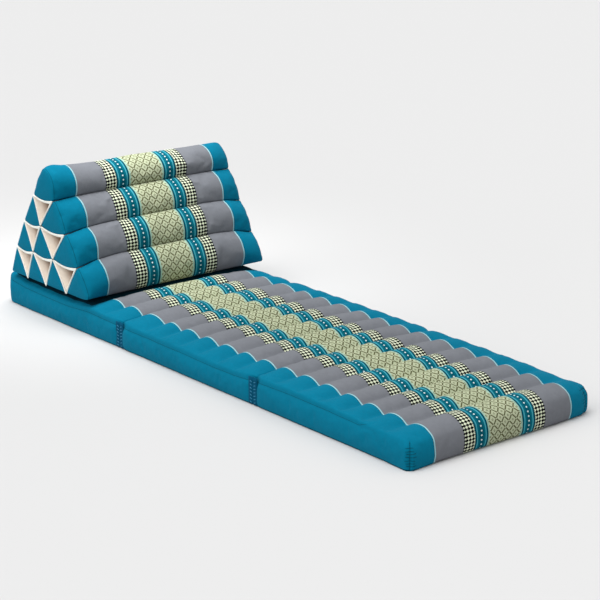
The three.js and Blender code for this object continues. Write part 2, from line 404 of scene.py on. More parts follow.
def finish_cotton(material, colour, along, across, roughness=0.85, depth=0.35):
    """Adds the unevenness of dye and thread to a colour and joins it to the material."""
    tree = material.node_tree
    shader = tree.nodes["Principled BSDF"]
    slow = object_noise(tree, scale=7, detail=3)
    fine = object_noise(tree, scale=140, detail=4)
    thread = weave(along, across)
    unevenness = (slow - 0.5) * 0.22 + (fine - 0.5) * 0.16 + (thread - 0.5) * 0.10 + 1
    tone = tree.nodes.new("ShaderNodeHueSaturation")
    tree.links.new(colour, tone.inputs["Color"])
    tree.links.new(unevenness.socket, tone.inputs["Value"])
    tree.links.new(tone.outputs["Color"], shader.inputs["Base Color"])
    bump = tree.nodes.new("ShaderNodeBump")
    bump.inputs["Strength"].default_value = depth
    bump.inputs["Distance"].default_value = 0.0006
    height = thread * 0.6 + fine * 1.4
    tree.links.new(height.socket, bump.inputs["Height"])
    tree.links.new(bump.outputs["Normal"], shader.inputs["Normal"])
    shader.inputs["Roughness"].default_value = roughness
    shader.inputs["Sheen Weight"].default_value = 0.01
    shader.inputs["Sheen Roughness"].default_value = 0.5
    shader.inputs["Specular IOR Level"].default_value = 0.06
    return material


def printed_cotton():
    material = plain_material("printed_cotton", TEAL, 0.85)
    along, across = cloth_measures(material.node_tree)
    out = across.size()
    scallop = (along * (math.pi / (LATTICE_ALONG / 2))).sine().size() * SCALLOP
    stitches = (along * (1 / WALL_STITCH_PITCH)).fraction() < WALL_STITCH_SHARE
    colour = gold_lattice(along, across)
    colour = paint(colour, MINT, out > (scallop * -1 + MINT_START))
    colour = teal_band(colour, along, out)
    colour = paint(colour, GREY, out > GREY_START)
    colour = check_band(colour, along, out)
    colour = paint(colour, PALE_BLUE, out > PALE_LINE_START)
    # A painted shadow in deep teal under the raised edge of the pale line
    colour = paint(colour, DEEP_TEAL, out > EDGE_SHADOW_START)
    colour = paint(colour, TEAL, out > BORDER_START)
    colour = paint(colour, DEEP_TEAL, stitches * out.within(*WALL_STITCHES))
    # A dark ring near each roll's end where its gathered end seam folds, partly seam and partly
    # painted crease shade
    colour = paint(colour, CREASE_SHADE_TEAL, out.within(*END_CREASE_SHADE))
    # A painted contact shadow along the foot of the side walls
    colour = paint(colour, SHADE_TEAL, out.within(*PAINTED_FOOT_SHADOW))
    # Painted shade in the crack under the headrest, on the top that it covers
    colour = paint(colour, SHADE_TEAL, out > SHADE_CLOTH)
    return finish_cotton(material, colour, along, across)


PRINTED_COTTON = printed_cotton()
print("printed cotton has", len(PRINTED_COTTON.node_tree.nodes), "nodes")

# %% [markdown]
# ### Cream cotton and teal thread
# The pockets between the rolls are lined with undyed cotton. Deep inside a pocket it is painted
# browner with the depth, which is on the cloth map, as a painted shade. The hems are whiter, the
# fold bands are darker than the mat, and the stitches are teal. All are plain weaves and share
# one finish.

# %% Cream cotton and thread
DEEP_SHADE_START, DEEP_SHADE_FULL = 0.008, 0.030


def plain_cotton(name, colour, roughness, depth, deep_shade_colour=None):
    """A cotton of one colour, or one that darkens to a painted shade with the depth of a pocket.
    """
    material = plain_material(name, colour, roughness)
    tree = material.node_tree
    along, across = cloth_measures(tree)
    base = tree.nodes.new("ShaderNodeRGB")
    base.outputs[0].default_value = colour
    dyed = base.outputs[0]
    if deep_shade_colour:
        # Painted shade: the colour darkens to brown deep in the pocket
        dyed = paint(dyed, deep_shade_colour, across.soft_step(DEEP_SHADE_START, DEEP_SHADE_FULL))
    return finish_cotton(material, dyed, along, across, roughness, depth)


# The lining's second colour is the painted shade deep in a pocket
CREAM_COTTON = plain_cotton("cream_cotton", light(242, 228, 212), 0.9, 0.5, light(146, 100, 64))
HEM_COTTON = plain_cotton("hem_cotton", light(240, 240, 232), 0.9, 0.4)
BAND_CLOTH = plain_cotton("band_cloth", light(0, 78, 108), 0.85, 0.5)
LADDER_THREAD = plain_cotton("ladder_thread", light(62, 136, 170), 0.8, 0.6)
DARK_THREAD = plain_cotton("teal_thread", light(0, 66, 84), 0.8, 0.6)
print("plain cottons ready")

# %% [markdown]
# ## Stuffing by simulation
# A tailor sews a flat tube and the kapok swells it, which leaves small puckers along each seam
# because the seam is shorter than the cloth beside it. Moving points by hand can give the
# swelling, but puckers are easier to get from cloth: we pin the sewn points, make the cloth a
# little too large, blow it up for 20 frames and keep the shape. The move is capped, so that no
# piece strays far from its solid.

# %% Stuffing by simulation
SWELL_FRAMES = 20


def cloth_settings(piece, growth, pressure):
    cloth = piece.modifiers.new("stuffing", "CLOTH")
    settings = cloth.settings
    settings.quality = 5
    settings.mass = 0.3
    settings.tension_stiffness = settings.compression_stiffness = 15
    settings.shear_stiffness = 5
    settings.bending_stiffness = 0.05
    settings.vertex_group_mass = "sewn"
    settings.use_pressure = True
    settings.uniform_pressure_force = pressure
    settings.shrink_min = -growth
    settings.effector_weights.gravity = 0
    cloth.point_cache.frame_start = 1
    cloth.point_cache.frame_end = SWELL_FRAMES
    return cloth


def stuff(piece, sewn, growth, pressure, cap):
    """Swells a sewn piece, and moves each free point by no more than the cap."""
    group = piece.vertex_groups.new(name="sewn")
    group.add(sewn, 1.0, "REPLACE")
    cloth = cloth_settings(piece, growth, pressure)
    for frame_number in range(1, SWELL_FRAMES + 1):
        bpy.context.scene.frame_set(frame_number)
    swollen = piece.evaluated_get(bpy.context.evaluated_depsgraph_get())
    places = [v.co.copy() for v in swollen.data.vertices]
    piece.modifiers.remove(cloth)
    piece.vertex_groups.remove(group)
    most = 0
    for vert, place in zip(piece.data.vertices, places):
        move = place - vert.co
        most = max(most, move.length)
        if move.length > cap:
            move *= cap / move.length
        vert.co += move
    bpy.context.scene.frame_set(1)
    return most


print("cloth swells over", SWELL_FRAMES, "frames")

# %% [markdown]
# ## The quilted mat
# A real section is two cloths sewn together along straight channels, each channel stuffed on
# its own. Pressing kapok into a tube makes its top an arc, and the stitches hold the valleys
# down. We take a cube, cut it into a fine grid, and move every point to where the cloth lies.
# A grid keeps even faces for the simulation later, and each valley gets a row of points.

# %% Measures of the mat
MM = 0.001
HALF_LENGTH = 0.7203
FOLD_GAP = 0.3 * MM
PRESSED_LENGTH = 352 * MM
PRESSED_CREST = 74.8 * MM
SECTIONS = {
    "mat_head": ([69, 66, 66, 66, 66, 66, 70], "round", "fold"),
    "mat_middle": ([86, 62, 68, 68, 69, 64, 68], "fold", "fold"),
    "mat_foot": ([67, 71, 69, 65, 64, 69, 81], "fold", "round"),
}
SEAM_HEIGHT = 62 * MM
SEAM_OUT = 250 * MM
WALL_OUT = 257 * MM
CREST_HEIGHT = 80 * MM
VALLEY_HEIGHT = 63.5 * MM
VALLEY_DROP = 2 * MM
ARCH_SQUARENESS, ARCH_FULLNESS = 2.2, 0.75
CROWN_SQUARENESS, CROWN_FULLNESS = 3.7, 0.72
PRESSED_ARCH = 0.75
PRESS_FADE = 30 * MM
STEPS_A_ROLL = 12
STEPS_ACROSS = 80
STEPS_UP = 12

# Tables of millimetres: distance from the head end, then a height or a drop there
NEAR_EDGE = [
    (0, 70), (17, 67), (71, 59), (169, 57), (264, 57.5), (339, 64), (450, 61), (556, 59),
    (686, 59), (810, 56), (890, 57), (1006, 65), (1066, 66), (1200, 67), (1350, 67), (1440, 66),
]
FAR_EDGE = [
    (0, 67), (70, 60), (170, 57), (264, 57), (339, 57), (400, 58), (500, 60), (600, 61),
    (1053, 61), (1153, 62), (1238, 64.5), (1320, 64), (1400, 65), (1440, 62),
]
FOOT_SINK = [(0, 0), (1100, 0), (1170, 2), (1230, 4), (1295, 6.5), (1360, 8), (1450, 8)]


def limited(share):
    """A share kept between 0 and 1."""
    return min(1, max(0, share))


def arch(share):
    """Height of a stuffed channel's top over its width, from 0 at a valley to 1."""
    return (1 - abs(2 * share - 1) ** ARCH_SQUARENESS) ** ARCH_FULLNESS


def read_table(table, place):
    """The value at a place, in millimetres, on the straight line between two entries."""
    mm = place / MM
    for (x0, a), (x1, b) in zip(table, table[1:]):
        if mm <= x1:
            return (a + (b - a) * max(0, mm - x0) / (x1 - x0)) * MM
    return table[-1][1] * MM

def settling(x, y):
    """How far the seam of a side wall stands above its usual height, fading to the middle."""
    edge = read_table(NEAR_EDGE if y < 0 else FAR_EDGE, x)
    return (edge - SEAM_HEIGHT) * (abs(y) / SEAM_OUT) ** 5


def crest_at(y):
    crown = (1 - (abs(y) / SEAM_OUT) ** CROWN_SQUARENESS) ** CROWN_FULLNESS
    return SEAM_HEIGHT + (CREST_HEIGHT - SEAM_HEIGHT) * crown


def valley_at(y):
    return VALLEY_HEIGHT - VALLEY_DROP * (abs(y) / SEAM_OUT) ** 6


def mat_top(x, y, share):
    """Height of the top, flatter and lower where the headrest presses on it."""
    pressed = limited((PRESSED_LENGTH - x) / PRESS_FADE)
    rise = arch(share) + pressed * (PRESSED_ARCH - arch(share)) * (abs(y) / SEAM_OUT) ** 2
    height = valley_at(y) + (crest_at(y) - valley_at(y)) * rise + settling(x, y)
    height -= read_table(FOOT_SINK, x)
    return min(height, PRESSED_CREST) if pressed else height


print("mat crest", CREST_HEIGHT, "valley", VALLEY_HEIGHT)

# %% [markdown]
# ### The round ends
# At the head and the foot the last roll's cloth turns down to the floor in one round. It is two
# quarter ovals: a tall one from the crest to the widest point, and a small one under it. At the
# head the edge stands a little higher in the photograph, so it is drawn up there.

# %% Round ends
END_TUCK = 9 * MM
END_WIDEST = 0.44
TOP_SHARE = 0.34
FOOT_ROUND = 0.9
HEAD_ROUND = 0.4
LOWER_ROUND = 0.8
CREST_STEPS = 24
TUCK_STEPS = 16
CORNER_REACH = 70 * MM
HEAD_RISE = 0.2
HEAD_RISE_REACH = 14 * MM
HEAD_TOP = 79 * MM
FOOT_SKEW = 8 * MM
FOLD_TUCK = 5 * MM


def oval(turn, squareness):
    """Sine and cosine pushed out, for a fuller round at a smaller power."""
    return math.sin(turn) ** squareness, max(0, math.cos(turn)) ** squareness


def corner_share(x, y):
    """1 at the near foot corner, where the cloth is pulled down to the floor, and 0 elsewhere."""
    to_foot = max(0, 1 - (2 * HALF_LENGTH - x) / CORNER_REACH)
    to_side = max(0, 1 - (SEAM_OUT + y) / CORNER_REACH)
    return (to_foot * to_side) ** 0.5 if y < 0 else 0


def round_path(reach, crest, squareness=FOOT_ROUND, tuck=END_TUCK):
    """Points from the crest (0, crest) round to the floor, with their distances along."""
    widest = END_WIDEST * crest
    points = []
    for step in range(CREST_STEPS + 1):
        out, up = oval(step / CREST_STEPS * math.pi / 2, squareness)
        points.append(Vector((reach * out, widest + (crest - widest) * up)))
    for step in range(1, TUCK_STEPS + 1):
        down, out = oval(step / TUCK_STEPS * math.pi / 2, LOWER_ROUND)
        points.append(Vector((reach - tuck * (1 - out), widest * (1 - down))))
    return points


def along_path(points, share):
    lengths = [(b - a).length for a, b in zip(points, points[1:])]
    left = share * sum(lengths)
    for a, b, length in zip(points, points[1:], lengths):
        if left <= length:
            return a.lerp(b, left / length)
        left -= length
    return points[-1].copy()


def path_length(points):
    return sum((b - a).length for a, b in zip(points, points[1:]))


print("round end is", round(path_length(round_path(0.04, CREST_HEIGHT)), 4), "metres of cloth")

# %% [markdown]
# ### A cut block of cloth
# The cube is cut along each axis with subdivide_edges. Its corners run from 0 to 1, so each
# point's own place says which roll, row and height it belongs to.

# %% Cut block
def cut_block(steps):
    block = bmesh.new()
    bmesh.ops.create_cube(block, size=1)
    bmesh.ops.translate(block, verts=block.verts, vec=(0.5, 0.5, 0.5))
    for axis, count in enumerate(steps):
        edges = [e for e in block.edges if abs(e.verts[0].co[axis] - e.verts[1].co[axis]) > 1e-6]
        bmesh.ops.subdivide_edges(block, edges=edges, cuts=count - 1, use_grid_fill=True)
    return block


def roll_places(rolls):
    """The start of each roll and the section's end, from the section's own start."""
    places = [0]
    for width in rolls:
        places.append(places[-1] + width * MM)
    return places


class Section:
    """One section of the mat, with its start measured from the head end."""

    def __init__(self, name, start):
        self.rolls, self.head, self.foot = SECTIONS[name]
        self.start = start
        self.places = [start + p for p in roll_places(self.rolls)]
        self.finish = self.places[-1]
        self.steps = STEPS_A_ROLL * len(self.rolls)

    def edge(self, side):
        return self.finish if side > 0 else self.start

    def top_point(self, column, y):
        """Distance from the head end and height of the top at a whole or half column."""
        index = min(int(column // STEPS_A_ROLL), len(self.rolls) - 1)
        share = column / STEPS_A_ROLL - index
        left, right = self.places[index], self.places[index + 1]
        if index == 0 and share < 0.5 and self.head == "round":
            return self.end_point(-1, TOP_SHARE * (1 - 2 * share), y)
        if index == len(self.rolls) - 1 and share > 0.5 and self.foot == "round":
            return self.end_point(1, TOP_SHARE * (2 * share - 1), y)
        x = left + share * (right - left)
        return Vector((x, mat_top(x, y, share)))

    def end_point(self, side, share, y):
        """A point of the round end, from the crest of the last roll at share 0."""
        edge = self.edge(side)
        width = (self.rolls[-1] if side > 0 else self.rolls[0]) * MM
        crest_x = edge - side * width / 2
        squareness = FOOT_ROUND if side > 0 else HEAD_ROUND
        tuck = END_TUCK * (1 - corner_share(edge, y) if side > 0 else 1)
        path = round_path(width / 2, mat_top(crest_x, y, 0.5), squareness, tuck)
        point = along_path(path, share)
        if side < 0:
            to_edge = width / 2 - point.x
            rise = 1 + HEAD_RISE * math.exp(-((to_edge / HEAD_RISE_REACH) ** 2))
            point.y = min(point.y * rise, HEAD_TOP)
        else:
            point.x -= FOOT_SKEW * max(0, y / SEAM_OUT) ** 4 * point.x / (width / 2)
        return Vector((crest_x + side * point.x, point.y))

    def wall_point(self, side, up, y):
        """A point of an end wall, from the floor at up 0 to its top edge at 1."""
        kind = self.foot if side > 0 else self.head
        if kind == "round":
            return self.end_point(side, 1 - up * (1 - TOP_SHARE), y)
        edge = self.edge(side)
        tuck = FOLD_TUCK * (1 - up) ** 6
        return Vector((edge - side * tuck, up * mat_top(edge, y, 0)))


print("section steps", STEPS_A_ROLL, STEPS_ACROSS, STEPS_UP)

# %% [markdown]
# ### Side walls and corners
# A strip of plain teal cloth makes the side wall. Stuffing pushes its middle out and the seam
# at its top and the floor hold its edges in. In plan the corners are rounded: a point near a
# corner keeps its direction from the corner's centre and gets a shorter distance to it.

# %% Side walls and corners
FLOOR_TUCK = 4 * MM
BELLY_UP = 0.45
SEAM_INSET = 1 * MM
CREASE_DEPTH = 2.4 * MM
CREASE_UP = 10 / 12
CREASE_SPREAD = 0.045
CREASE_END = 1345 * MM
CREASE_FADE = 50 * MM
OUTER_PART = 235 * MM
FOLD_DRAW = 9 * MM
FOLD_DRAW_REACH = 32 * MM
CORNER_RADIUS = {-1: 14 * MM, 1: 32 * MM}
PUCKER_ANGLE = {-1: 39.3, 1: 62}
PUCKER_DEPTH = {-1: 2.6 * MM, 1: 1.0 * MM}
PUCKER_SPREAD = 16
RIPPLE_DEPTH = 2.0 * MM
ROW_CROWDING = 0.12


def floor_width(x, y):
    """Half the width of the mat at the floor."""
    return WALL_OUT - FLOOR_TUCK * (1 - corner_share(x, y))


def crease_share(x):
    """The crease and stitches under the wall's top seam fade out before the foot."""
    return limited((CREASE_END - x) / CREASE_FADE)


def wall_bulge(up, x=0, y=0):
    """How far out the side wall stands, from the floor at 0 to its seam at 1."""
    if up < BELLY_UP:
        low, belly = floor_width(x, y), 1 - (1 - up / BELLY_UP) ** 3
    else:
        low, belly = SEAM_OUT - SEAM_INSET, 1 - ((up - BELLY_UP) / (1 - BELLY_UP)) ** 3
    crease = CREASE_DEPTH * crease_share(x) * math.exp(-(((up - CREASE_UP) / CREASE_SPREAD) ** 2))
    return low + (WALL_OUT - low) * belly - crease


def side_wall_point(section, column, up, y_side):
    """Blends the four edges of the wall, then lets it bulge."""
    a = column / section.steps
    edge_y = y_side * SEAM_OUT
    top = section.top_point(column, edge_y)
    floor_left, floor_right = (section.wall_point(s, 0, edge_y) for s in (-1, 1))
    left, right = (section.wall_point(s, up, edge_y) for s in (-1, 1))
    top_left, top_right = section.top_point(0, edge_y), section.top_point(section.steps, edge_y)
    bottom = floor_left.lerp(floor_right, a)
    across = bottom.lerp(top, up) + left.lerp(right, a)
    corners = bottom.lerp(top_left.lerp(top_right, a), up)
    point = across - corners
    return Vector((point.x, y_side * wall_bulge(up, point.x, edge_y), point.y))


def round_corner(point, section):
    """Rounds the plan at the head and the foot, and draws the walls in at the folds."""
    out = 1 if point.y > 0 else -1
    for edge, side, kind in ((section.start, -1, section.head), (section.finish, 1, section.foot)):
        if kind == "fold":
            near = max(0, 1 - abs(edge - point.x) / FOLD_DRAW_REACH)
            outer = limited((abs(point.y) - OUTER_PART) / (10 * MM))
            low = 0.4 + 0.6 * min(1, point.z / (22 * MM))
            point.y -= out * FOLD_DRAW * near * near * outer * low
            continue
        radius = CORNER_RADIUS[out]
        heart_x = edge - side * radius
        heart_y = WALL_OUT - radius
        away = Vector(((point.x - heart_x) * side, abs(point.y) - heart_y))
        if away.x > 0 and away.y > 0:
            reach = max(away.x, away.y) / away.length
            if side > 0:
                turn = math.degrees(math.atan2(away.y, away.x))
                low = max(0, 1 - max(0, point.z / SEAM_HEIGHT) ** 3)
                pull = math.exp(-(((turn - PUCKER_ANGLE[out]) / PUCKER_SPREAD) ** 2))
                reach -= low * PUCKER_DEPTH[out] / radius * pull
            point.x = heart_x + side * away.x * reach
            point.y = out * (heart_y + away.y * reach)
    return point


def wall_ripple(point):
    """Slow hollows in the side walls, where the stuffing lies unevenly."""
    out = 1 if point.y > 0 else -1
    outer = limited((abs(point.y) - OUTER_PART) / (12 * MM))
    low = min(1, point.z / (20 * MM))
    hollow = noise.noise(Vector((point.x * 13, point.z * 16, 4.0 * out)))
    return out * outer * (0.35 + 0.65 * low) * RIPPLE_DEPTH * hollow


def row_place(share):
    """Distance from the middle for an evenly cut row, closer together near the sides."""
    w = 2 * share - 1
    crowded = (1 + ROW_CROWDING) * abs(w) - ROW_CROWDING * abs(w) ** 8
    return math.copysign(SEAM_OUT * crowded, w)


print("side wall stands out", wall_bulge(0.45))

# %% [markdown]
# ### Shaping a section
# Each point of the cut block is sent to the top, the floor, an end wall or a side wall. The UV
# map gets metres of cloth: the path over the rolls along, and the distance from the middle
# across. The side walls and the underside are plain teal, so they lie beyond the border. The
# crack under the headrest is nearly black in the photograph, because light is lost at each
# touch of the two cloths, so the top that the headrest covers is mapped to a dark teal.

# %% Shape a section
ON_FACE = 0.0001
SIDE_SEAM = 0.012
HELD_ROWS = (1, 10)
END_DROP = 0.068
CREASE_SHIFT = 0.02
UNDERSIDE_CLOTH = PLAIN_CLOTH + 0.1
UNDERSIDE_LENGTH = 0.47
UNDERSIDE_WIDTH = 0.5
SHADED_LENGTH = 343 * MM
SHADED_OUT = 240 * MM


def at_edge(share):
    """Whether a place on the cut block lies on one of its two faces."""
    return share < ON_FACE or share > 1 - ON_FACE


def face_kind(middle):
    """Which cloth a face of the cut block belongs to."""
    if at_edge(middle.z):
        return "top" if middle.z > 0.5 else "underside"
    return "side" if at_edge(middle.y) else "end"


def is_sewn(corner, section):
    """Whether a point of the cut block is held by a seam, a fold or the floor."""
    a, b, c = corner
    if at_edge(c):
        at_side = b < SIDE_SEAM or b > 1 - SIDE_SEAM
        return c < 0.5 or at_side or round(a * section.steps) % STEPS_A_ROLL == 0
    return round(c * STEPS_UP) in HELD_ROWS


def spread_cloth(block, section, cloth_start):
    """Maps metres of cloth onto the cut block, and gives the place where its cloth ends."""
    cloth = block.loops.layers.uv.new("cloth")
    length = section.finish - section.start
    middle = [section.top_point(c, 0) for c in range(section.steps + 1)]
    run = [0]
    for a, b in zip(middle, middle[1:]):
        run.append(run[-1] + (b - a).length)
    for face in block.faces:
        heart = face.calc_center_median()
        kind = face_kind(heart)
        from_head = section.start + heart.x * length
        shaded = from_head < SHADED_LENGTH and abs(row_place(heart.y)) < SHADED_OUT
        for loop in face.loops:
            a, b, c = loop.vert.co
            along = cloth_start + run[round(a * section.steps)]
            across = row_place(b)
            if kind == "end":
                along += (1 - c) * END_DROP * (1 if a > 0.5 else -1)
            elif kind == "side":
                fade = 1 - crease_share(section.start + a * length)
                upper = limited((c - 0.3) / 0.4)
                across = PLAIN_CLOTH + (1 - c) * SEAM_HEIGHT + CREASE_SHIFT * fade * upper
            elif kind == "underside":
                along = a * UNDERSIDE_LENGTH
                across = UNDERSIDE_CLOTH + b * UNDERSIDE_WIDTH
            # The top under the headrest goes to the painted shade
            elif shaded:
                across += math.copysign(SHADE_CLOTH, heart.y - 0.5)
            loop[cloth].uv = (along, across)
    return cloth_start + run[-1]


def block_place(section, corner):
    """Where a point of the cut block goes: from the head end, across, and up."""
    a, b, c = corner
    column, y = round(a * section.steps), row_place(b)
    side = -1 if a < 0.5 else 1
    if at_edge(c) and c < 0.5 and not at_edge(a):
        point = section.wall_point(-1, 0, y).lerp(section.wall_point(1, 0, y), a)
        return Vector((point.x, y * floor_width(point.x, y) / SEAM_OUT, 0))
    if at_edge(b) and not at_edge(c):
        return side_wall_point(section, column, c, -1 if b < 0.5 else 1)
    on_top = at_edge(c) and c > 0.5
    point = section.top_point(column, y) if on_top else section.wall_point(side, c, y)
    return Vector((point.x, y, point.y))


def shaped_section(section, cloth_start):
    """A section's mesh, the points that are held, and the place where its cloth ends."""
    block = cut_block((section.steps, STEPS_ACROSS, STEPS_UP))
    cloth_end = spread_cloth(block, section, cloth_start)
    block.verts.index_update()
    sewn = [vert.index for vert in block.verts if is_sewn(vert.co, section)]
    for vert in block.verts:
        vert.co = round_corner(block_place(section, vert.co), section)
        vert.co.y += wall_ripple(vert.co)
        vert.co.x -= HALF_LENGTH
    return block, sewn, cloth_end


def smooth_piece(piece):
    modifier = piece.modifiers.new("smooth", "SUBSURF")
    modifier.levels = modifier.render_levels = 1


def stuffed_piece(name, node, maker, sewn, stuffing):
    """A stuffed, smoothed piece in the place of one solid."""
    piece = finished_object(name, maker, [PRINTED_COTTON])
    most = stuff(piece, sewn, **stuffing)
    smooth_piece(piece)
    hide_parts(node)
    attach(piece, "root")
    print(name, len(piece.data.vertices), "points, swelling by", round(most, 4))
    return piece


MAT_STUFFING = {"growth": 0.01, "pressure": 6, "cap": 2 * MM}
section_start, cloth_start = 0, 0
for name in SECTIONS:
    section = Section(name, section_start)
    block, sewn, cloth_start = shaped_section(section, cloth_start)
    foot_piece = stuffed_piece("quilted_" + name, name, block, sewn, MAT_STUFFING)
    section_start = section.finish + FOLD_GAP

# %% [markdown]
# ## The rolls of the headrest
# Ten stuffed tubes lie in four rows. Each tube is a rounded triangle in section, sewn to its
# neighbours along seam lines. The same table of seam lines as in the solids says where they
# run. Near each end the tubes part and leave small pockets between them.

# %% Seam lines of the headrest
HALF_WIDTH = 258 * MM
POCKET_DEPTH = 55 * MM
ROWS_AT_END = [(358, 174, 174), (290, 128, 211), (219, 84, 256), (149, 47, 302), (80, 19, 348)]
ROWS_INSIDE = [(359, 176, 176), (297, 129, 223), (234, 87, 267), (167, 48, 306), (80, 20, 343)]
SEAM_SHARES = [[0], [0, 1], [0, 0.41, 1], [0, 0.28, 0.61, 1], [0, 0.22, 0.46, 0.72, 1]]
ALONG_ROLL = [
    # depth, settle, pocket, front crown, rear crown
    (0, 0, 0, 1.5, 0),
    (4, 0.03, 0.05, 6, 0.5),
    (6, 0.05, 0.08, 7, 0.5),
    (9, 0.08, 0.13, 11.5, 1.5),
    (16, 0.15, 0.25, 15.5, 2.5),
    (26, 0.3, 0.38, 16.5, 4),
    (40, 0.5, 0.52, 16, 6),
    (50, 0.65, 0.64, 15.5, 7),
    (55, 0.7, 1, 15, 9),
    (120, 1, 1, 14, 12),
    (258, 1, 1, 14, 13),
]
LAST_ROW = len(ROWS_AT_END) - 1


def station(depth):
    """Settle, pocket, front crown and rear crown at a depth in metres from the end."""
    mm = min(depth / MM, ALONG_ROLL[-1][0])
    low, high = next((a, b) for a, b in zip(ALONG_ROLL, ALONG_ROLL[1:]) if mm <= b[0])
    share = (mm - low[0]) / (high[0] - low[0])
    settle, pocket, front, rear = (a + (b - a) * share for a, b in zip(low[1:], high[1:]))
    return settle, pocket, front * MM, rear * MM


def seam(row, place, settle):
    """A seam point: rows count down from the ridge, places from the rear."""
    share = SEAM_SHARES[row][place]
    ends = []
    for z, rear, front in (ROWS_AT_END[row], ROWS_INSIDE[row]):
        ends.append(Vector((rear + (front - rear) * share, z)))
    return ends[0].lerp(ends[1], settle) * MM


def pocket_corners(row, place, settle):
    return [
        seam(row - 1, place - 1, settle),
        seam(row - 1, place, settle),
        seam(row, place, settle),
    ]


def heart_of(points):
    return sum(points, Vector((0, 0))) / len(points)


def pocket_heart(corners, closed):
    """The deepest place of a pocket, which lies up and to the front of its middle."""
    return heart_of(corners).lerp(corners[1], 0.5 * min(1, 5 * closed))


print("seam rows", len(ROWS_AT_END))

# %% [markdown]
# ### The outline of a roll
# An outer side swells away from the roll's heart. A side that faces a pocket is straight at the
# mouth and leans into the pocket further in, until three rolls meet in the pocket's middle. At
# the mouth the lower side sags a little, because nothing carries the stuffing there.

# %% Outline of a roll
OUTER_STEPS = 22
SHARED_STEPS = 8
MOUTH_SAG = 6.5 * MM
MOUTH_SWELL = 1.4 * MM
SWELL_SQUARENESS = 2.4
BLUNT_START = 215 * MM
BLUNT_FADE = 40 * MM
UNDERSIDE_CROWN = 5 * MM
ROLL_FILL = 1.003
RIDGE_LIFT = [
    # millimetres across, then how far the ridge of the top roll stands above its seam line
    (-258, -1), (-252, 2.5), (-245, 5.5), (-235, 7.5), (-225, 8), (-190, 5), (-150, 2.5),
    (-110, 1), (0, 0), (100, -1), (190, -4), (232, -6), (245, -8), (252, -11), (258, -17),
]


def swollen_side(a, b, heart, crown, steps):
    out = Vector((b.y - a.y, a.x - b.x)).normalized()
    if out.dot((a + b) / 2 - heart) < 0:
        out = -out
    return [
        a.lerp(b, s / steps) + out * crown * (1 - abs(2 * s / steps - 1) ** SWELL_SQUARENESS)
        for s in range(steps)
    ]


def shared_side(a, b, pocket, closed, swell):
    lean = (pocket_heart(pocket, closed) - (a + b) / 2) * closed
    out = (heart_of(pocket) - (a + b) / 2).normalized() * swell * (1 - closed)
    points = []
    for s in range(SHARED_STEPS):
        share = s / SHARED_STEPS
        tent = 1 - abs(2 * share - 1)
        points.append(a.lerp(b, share) + lean * tent + out * math.sin(math.pi * share))
    return points


def domed_top(rear, front, top, front_crown, rear_crown, lift, blunt):
    """The top roll's outer side, from the rear seam over the ridge to the front seam."""
    base = (rear + front) / 2
    half = (front.x - rear.x) / 2
    points = []
    for s in range(2 * OUTER_STEPS):
        turn = math.pi * s / (2 * OUTER_STEPS)
        up = math.sin(turn) ** 0.8
        side = -1 if turn < math.pi / 2 else 1
        crown = rear_crown if side < 0 else front_crown
        if side < 0:
            shape = (1 - up) ** 0.7
        else:
            shape = (1 - up ** (2.6 - blunt)) ** (0.55 + 0.3 * blunt)
        out = half * shape + 0.35 * crown * math.sin(math.pi * up)
        x = base.x + (top.x - base.x) * up + side * out
        points.append(Vector((x, base.y + (top.y + lift - base.y) * up)))
    return points


def rounded(outline, corner, reach, times):
    """The outline with the points near one corner averaged with their neighbours."""
    points = list(outline)
    for _ in range(times):
        before = list(points)
        for k in range(corner - reach, corner + reach):
            neighbours = before[(k - 1) % len(points)] + before[(k + 1) % len(points)]
            points[k % len(points)] = (neighbours + before[k % len(points)] * 2) / 4
    return points


def roll_outline(row, place, y):
    """A roll's outline where it is cut at y: up the rear, down the front, and back under."""
    settle, pocket, front_crown, rear_crown = station(HALF_WIDTH - abs(y))
    top = seam(row - 1, place, settle)
    rear = seam(row, place, settle)
    front = seam(row, place + 1, settle)
    heart = heart_of([top, rear, front])

    def shared(a, b, pocket_row, pocket_place, swell):
        corners = pocket_corners(pocket_row, pocket_place, settle)
        return shared_side(a, b, corners, pocket, swell)

    if row == 1:
        lift = read_table(RIDGE_LIFT, y)
        blunt = limited((y - BLUNT_START) / BLUNT_FADE)
        outline = domed_top(rear, front, top, front_crown, rear_crown, lift, blunt)
    else:
        if place == 0:
            outline = swollen_side(rear, top, heart, rear_crown, OUTER_STEPS)
        else:
            outline = shared(rear, top, row, place, MOUTH_SWELL)
        if place == row - 1:
            outline += swollen_side(top, front, heart, front_crown, OUTER_STEPS)
        else:
            outline += shared(top, front, row, place + 1, MOUTH_SWELL)
    if row == LAST_ROW:
        outline += swollen_side(front, rear, heart, UNDERSIDE_CROWN * pocket, SHARED_STEPS)
    else:
        outline += shared(front, rear, row + 1, place + 1, MOUTH_SAG)
    if row == LAST_ROW and place == row - 1:
        outline = rounded(outline, len(outline) - SHARED_STEPS, reach=5, times=6)
    return [heart.lerp(p, ROLL_FILL) for p in outline]


print("outline points of the top roll", len(roll_outline(1, 0, -0.1)))

# %% [markdown]
# ### Lofting a roll
# One ring of points is extruded again and again along the roll, and each new ring is moved to
# the outline there. The end is a pillow: the last rings shrink towards the heart while the
# cloth rises a little, and they meet in one point.

# %% Loft a roll
ROLL_DEPTHS = [4, 6, 9, 13, 18, 24, 31, 38] + [46 + 8.5 * k for k in range(25)]
END_SHARES = [0.93, 0.84, 0.72, 0.58, 0.42, 0.25, 0.1]
END_RISE = 5 * MM
END_SOFTNESS = 0.30
HEADREST_STRETCH = 1.04
ROW_SHIFT = 0.31
BORDER_OUT = 0.20
BORDER_FADE = 0.03


